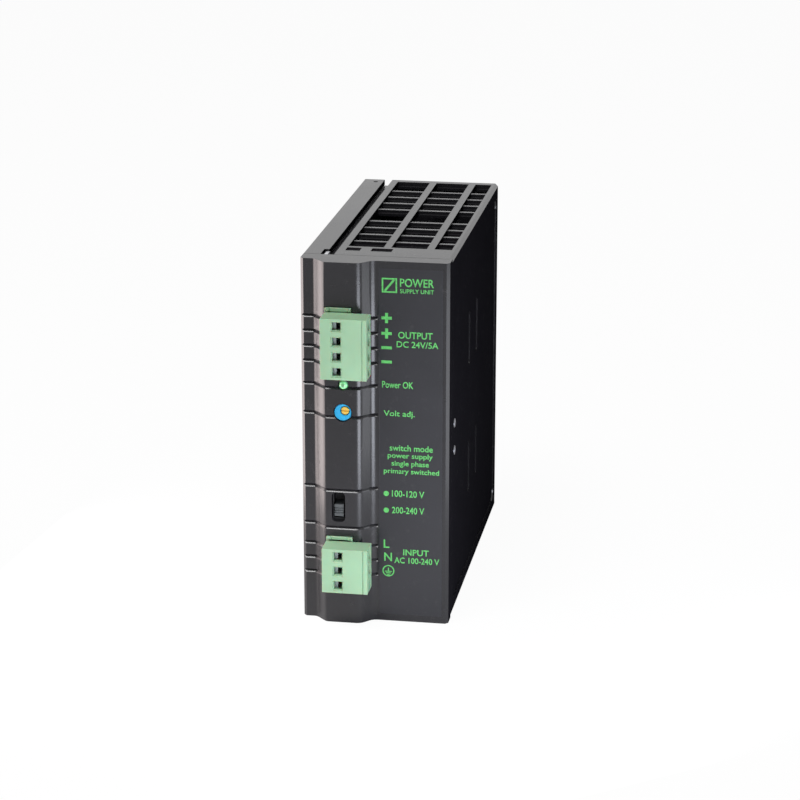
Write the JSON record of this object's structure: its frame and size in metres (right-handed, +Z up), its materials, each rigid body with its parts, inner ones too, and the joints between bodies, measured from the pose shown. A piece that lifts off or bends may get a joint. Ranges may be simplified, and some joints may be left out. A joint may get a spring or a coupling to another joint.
{
  "type": "din rail power supply",
  "caption": "Slim black DIN rail power supply with louvred case, raised front strip, pluggable green screw terminals, selector, trimmer, status lamp and spring-latched rail foot.",
  "frame": {"origin": "centre of the whole part's footprint, at the height of its base", "axes": "+X to the device's right seen from the front, +Y from its front towards the rail, +Z up"},
  "size_m": [0.049, 0.141, 0.124],
  "materials": {
    "black_plastic": "moulded satin charcoal plastic",
    "label_foil": "printed dark foil",
    "terminal_green": "moulded light green plastic",
    "zinc_steel": "zinc plated steel",
    "tinned_brass": "tinned brass",
    "circuit_board": "solder-masked glass epoxy",
    "blue_plastic": "moulded blue plastic",
    "brass": "plain brass",
    "green_lens": "clear tinted lens",
    "switch_black": "moulded black plastic",
    "switch_grey": "moulded dark grey plastic",
    "ferrite": "sintered ferrite",
    "winding_tape": "polyester tape",
    "copper_wire": "enamelled copper wire",
    "capacitor_sleeve": "shrink sleeve",
    "film_box": "moulded box",
    "aluminium": "extruded aluminium",
    "glass_tube": "clear glass tube"
  },
  "bodies": {
    "housing": {"bulk_capacitor_1": "capacitor_sleeve", "bulk_capacitor_2": "capacitor_sleeve", "cover_clip": "zinc_steel", "front_board": "circuit_board", "front_cover": "black_plastic", "front_label": "label_foil", "fuse": "glass_tube", "heat_sink_screw_1": "zinc_steel", "heat_sink_screw_2": "zinc_steel", "housing_shell": "black_plastic", "input_header": "terminal_green", "input_pin_1": "tinned_brass", "input_pin_2": "tinned_brass", "input_pin_3": "tinned_brass", "interference_capacitor": "film_box", "latch_spring": "zinc_steel", "line_choke": "copper_wire", "main_board": "circuit_board", "output_capacitor_1": "capacitor_sleeve", "output_capacitor_2": "capacitor_sleeve", "output_header": "terminal_green", "output_pin_1": "tinned_brass", "output_pin_2": "tinned_brass", "output_pin_3": "tinned_brass", "output_pin_4": "tinned_brass", "output_rectifier": "switch_black", "power_led": "green_lens", "primary_heat_sink": "aluminium", "rail_foot": "black_plastic", "rail_foot_screw_1": "zinc_steel", "rail_foot_screw_2": "zinc_steel", "secondary_heat_sink": "aluminium", "selector_body": "switch_black", "side_cover": "black_plastic", "side_cover_screw_1": "zinc_steel", "side_cover_screw_2": "zinc_steel", "switching_transistor": "switch_black", "transformer_core": "ferrite", "transformer_winding": "winding_tape", "trimmer_body": "blue_plastic"},
    "latch": {"rail_latch": "black_plastic"},
    "selector": {"selector_slider": "switch_grey"},
    "trimmer": {"trimmer_rotor": "brass"},
    "output_plug": {"output_plug": "terminal_green"},
    "output_screw_1": {"output_clamp_screw_1": "zinc_steel"},
    "output_cage_1": {"output_clamp_cage_1": "zinc_steel"},
    "output_screw_2": {"output_clamp_screw_2": "zinc_steel"},
    "output_cage_2": {"output_clamp_cage_2": "zinc_steel"},
    "output_screw_3": {"output_clamp_screw_3": "zinc_steel"},
    "output_cage_3": {"output_clamp_cage_3": "zinc_steel"},
    "output_screw_4": {"output_clamp_screw_4": "zinc_steel"},
    "output_cage_4": {"output_clamp_cage_4": "zinc_steel"},
    "input_plug": {"input_plug": "terminal_green"},
    "input_screw_1": {"input_clamp_screw_1": "zinc_steel"},
    "input_cage_1": {"input_clamp_cage_1": "zinc_steel"},
    "input_screw_2": {"input_clamp_screw_2": "zinc_steel"},
    "input_cage_2": {"input_clamp_cage_2": "zinc_steel"},
    "input_screw_3": {"input_clamp_screw_3": "zinc_steel"},
    "input_cage_3": {"input_clamp_cage_3": "zinc_steel"}
  },
  "joints": [
    {"name": "output_plug_pull", "type": "slide", "parent": "housing", "child": "output_plug", "axis": [0, -1, 0], "range_m": [0, 0.012]},
    {"name": "output_cage_1_draw", "type": "slide", "parent": "output_plug", "child": "output_cage_1", "axis": [-1, 0, 0], "range_m": [0, 0.0015]},
    {"name": "output_screw_1_turn", "type": "hinge", "parent": "output_plug", "child": "output_screw_1", "pos_m": [-0.0023, -0.066, 0.10492], "axis": [1, 0, 0], "range_deg": [0, 1090]},
    {"name": "output_cage_2_draw", "type": "slide", "parent": "output_plug", "child": "output_cage_2", "axis": [-1, 0, 0], "range_m": [0, 0.0015]},
    {"name": "output_screw_2_turn", "type": "hinge", "parent": "output_plug", "child": "output_screw_2", "pos_m": [-0.0023, -0.066, 0.09984], "axis": [1, 0, 0], "range_deg": [0, 1090]},
    {"name": "output_cage_3_draw", "type": "slide", "parent": "output_plug", "child": "output_cage_3", "axis": [-1, 0, 0], "range_m": [0, 0.0015]},
    {"name": "output_screw_3_turn", "type": "hinge", "parent": "output_plug", "child": "output_screw_3", "pos_m": [-0.0023, -0.066, 0.09476], "axis": [1, 0, 0], "range_deg": [0, 1090]},
    {"name": "output_cage_4_draw", "type": "slide", "parent": "output_plug", "child": "output_cage_4", "axis": [-1, 0, 0], "range_m": [0, 0.0015]},
    {"name": "output_screw_4_turn", "type": "hinge", "parent": "output_plug", "child": "output_screw_4", "pos_m": [-0.0023, -0.066, 0.08968], "axis": [1, 0, 0], "range_deg": [0, 1090]},
    {"name": "input_plug_pull", "type": "slide", "parent": "housing", "child": "input_plug", "axis": [0, -1, 0], "range_m": [0, 0.012]},
    {"name": "input_cage_1_draw", "type": "slide", "parent": "input_plug", "child": "input_cage_1", "axis": [-1, 0, 0], "range_m": [0, 0.0015]},
    {"name": "input_screw_1_turn", "type": "hinge", "parent": "input_plug", "child": "input_screw_1", "pos_m": [-0.0023, -0.066, 0.02648], "axis": [1, 0, 0], "range_deg": [0, 1090]},
    {"name": "input_cage_2_draw", "type": "slide", "parent": "input_plug", "child": "input_cage_2", "axis": [-1, 0, 0], "range_m": [0, 0.0015]},
    {"name": "input_screw_2_turn", "type": "hinge", "parent": "input_plug", "child": "input_screw_2", "pos_m": [-0.0023, -0.066, 0.0214], "axis": [1, 0, 0], "range_deg": [0, 1090]},
    {"name": "input_cage_3_draw", "type": "slide", "parent": "input_plug", "child": "input_cage_3", "axis": [-1, 0, 0], "range_m": [0, 0.0015]},
    {"name": "input_screw_3_turn", "type": "hinge", "parent": "input_plug", "child": "input_screw_3", "pos_m": [-0.0023, -0.066, 0.01632], "axis": [1, 0, 0], "range_deg": [0, 1090]},
    {"name": "selector_slide", "type": "slide", "parent": "housing", "child": "selector", "axis": [0, 0, 1], "range_m": [0, 0.003]},
    {"name": "trimmer_turn", "type": "hinge", "parent": "housing", "child": "trimmer", "pos_m": [-0.0093, -0.0608, 0.0741], "axis": [0, 1, 0], "range_deg": [-135, 135]},
    {"name": "latch_slide", "type": "slide", "parent": "housing", "child": "latch", "axis": [0, 0, -1], "range_m": [0, 0.005], "stiffness_N_per_m": 300, "springref_m": -0.002, "deforming": ["latch_spring"]}
  ],
  "couplings": [
    {"joint": "output_screw_1_turn", "follows": "output_cage_1_draw", "rad_per_m": 12566},
    {"joint": "output_screw_2_turn", "follows": "output_cage_2_draw", "rad_per_m": 12566},
    {"joint": "output_screw_3_turn", "follows": "output_cage_3_draw", "rad_per_m": 12566},
    {"joint": "output_screw_4_turn", "follows": "output_cage_4_draw", "rad_per_m": 12566},
    {"joint": "input_screw_1_turn", "follows": "input_cage_1_draw", "rad_per_m": 12566},
    {"joint": "input_screw_2_turn", "follows": "input_cage_2_draw", "rad_per_m": 12566},
    {"joint": "input_screw_3_turn", "follows": "input_cage_3_draw", "rad_per_m": 12566}
  ]
}
